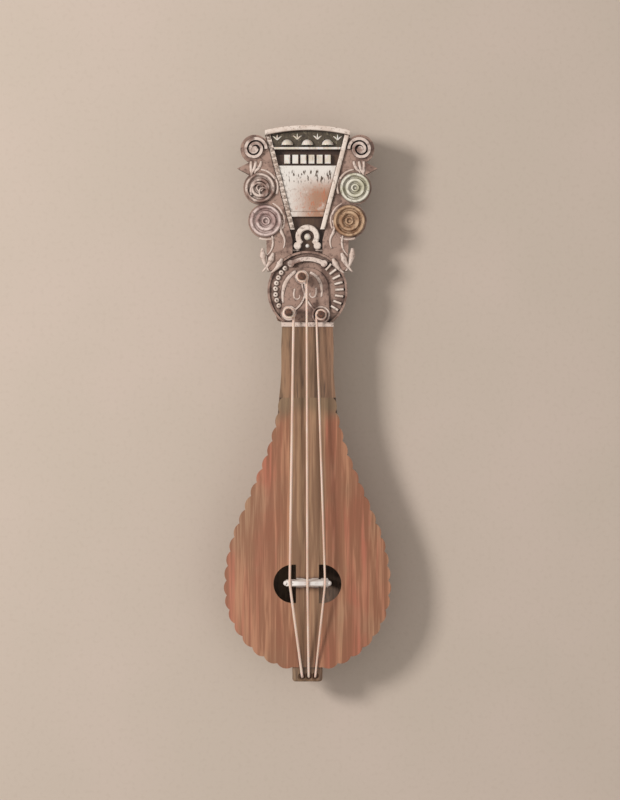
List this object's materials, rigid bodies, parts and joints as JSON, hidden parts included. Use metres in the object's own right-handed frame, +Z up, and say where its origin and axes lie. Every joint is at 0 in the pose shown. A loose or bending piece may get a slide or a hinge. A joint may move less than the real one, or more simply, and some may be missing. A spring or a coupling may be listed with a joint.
{
  "type": "bowed lyra",
  "caption": "Pear-shaped bowed lyra with a carved head, a lobed soundboard with D-shaped sound holes, and pegs set from behind that turn to tune its strings.",
  "frame": {"origin": "middle of the bounding box's bottom, with the lyra lying on its back", "axes": "+Z up out of the soundboard, +Y along the neck to the head, +X to the treble side"},
  "size_m": [0.1444, 0.48, 0.0615],
  "materials": {
    "block_wood": "satin oiled hardwood",
    "board_wood": "satin reddish softwood",
    "carved_wood": "dark carved hardwood",
    "dark_wood": "dark olive stained wood",
    "pale_wood": "pale carved wood",
    "peg_wood": "turned hardwood",
    "bone": "polished bone",
    "painted_bone": "bone with a worn orange stain",
    "gut": "twisted gut"
  },
  "bodies": {
    "lyra_body": {"bowl_neck_and_head": "block_wood", "soundboard": "board_wood", "tail_block": "pale_wood", "bridge": "bone", "soundpost": "board_wood", "crown_cornice": "pale_wood", "frieze": "dark_wood", "frieze_domes": "bone", "frieze_ledge": "pale_wood", "bone_tiles": "bone", "crest_plaque": "painted_bone", "rail_plain": "pale_wood", "rail_beaded": "carved_wood", "wing_left": "carved_wood", "wing_right": "carved_wood", "rosette_lower_left": "carved_wood", "rosette_upper_left": "carved_wood", "rosette_lower_right": "carved_wood", "rosette_upper_right": "carved_wood", "volute_left": "carved_wood", "volute_right": "carved_wood", "leaves_left": "pale_wood", "leaves_right": "pale_wood", "horseshoe": "pale_wood", "bone_pearls": "bone", "peg_disc": "carved_wood", "disc_beads": "pale_wood", "disc_bars": "pale_wood", "disc_band": "pale_wood", "disc_tracery": "pale_wood", "neck_collar": "carved_wood", "string_bass": "gut", "string_middle": "gut", "string_treble": "gut"},
    "peg_bass_body": {"peg_bass": "peg_wood", "winding_bass": "gut"},
    "peg_middle_body": {"peg_middle": "peg_wood", "winding_middle": "gut"},
    "peg_treble_body": {"peg_treble": "peg_wood", "winding_treble": "gut"}
  },
  "joints": [
    {"name": "peg_bass_turn", "type": "hinge", "parent": "lyra_body", "child": "peg_bass_body", "pos_m": [-0.016, 0.078, 0.032], "axis": [0, 0, 1], "continuous": true, "deforming": ["string_bass"]},
    {"name": "peg_middle_turn", "type": "hinge", "parent": "lyra_body", "child": "peg_middle_body", "pos_m": [-0.0047, 0.109, 0.032], "axis": [0, 0, 1], "continuous": true, "deforming": ["string_middle"]},
    {"name": "peg_treble_turn", "type": "hinge", "parent": "lyra_body", "child": "peg_treble_body", "pos_m": [0.0116, 0.0763, 0.032], "axis": [0, 0, 1], "continuous": true, "deforming": ["string_treble"]}
  ]
}
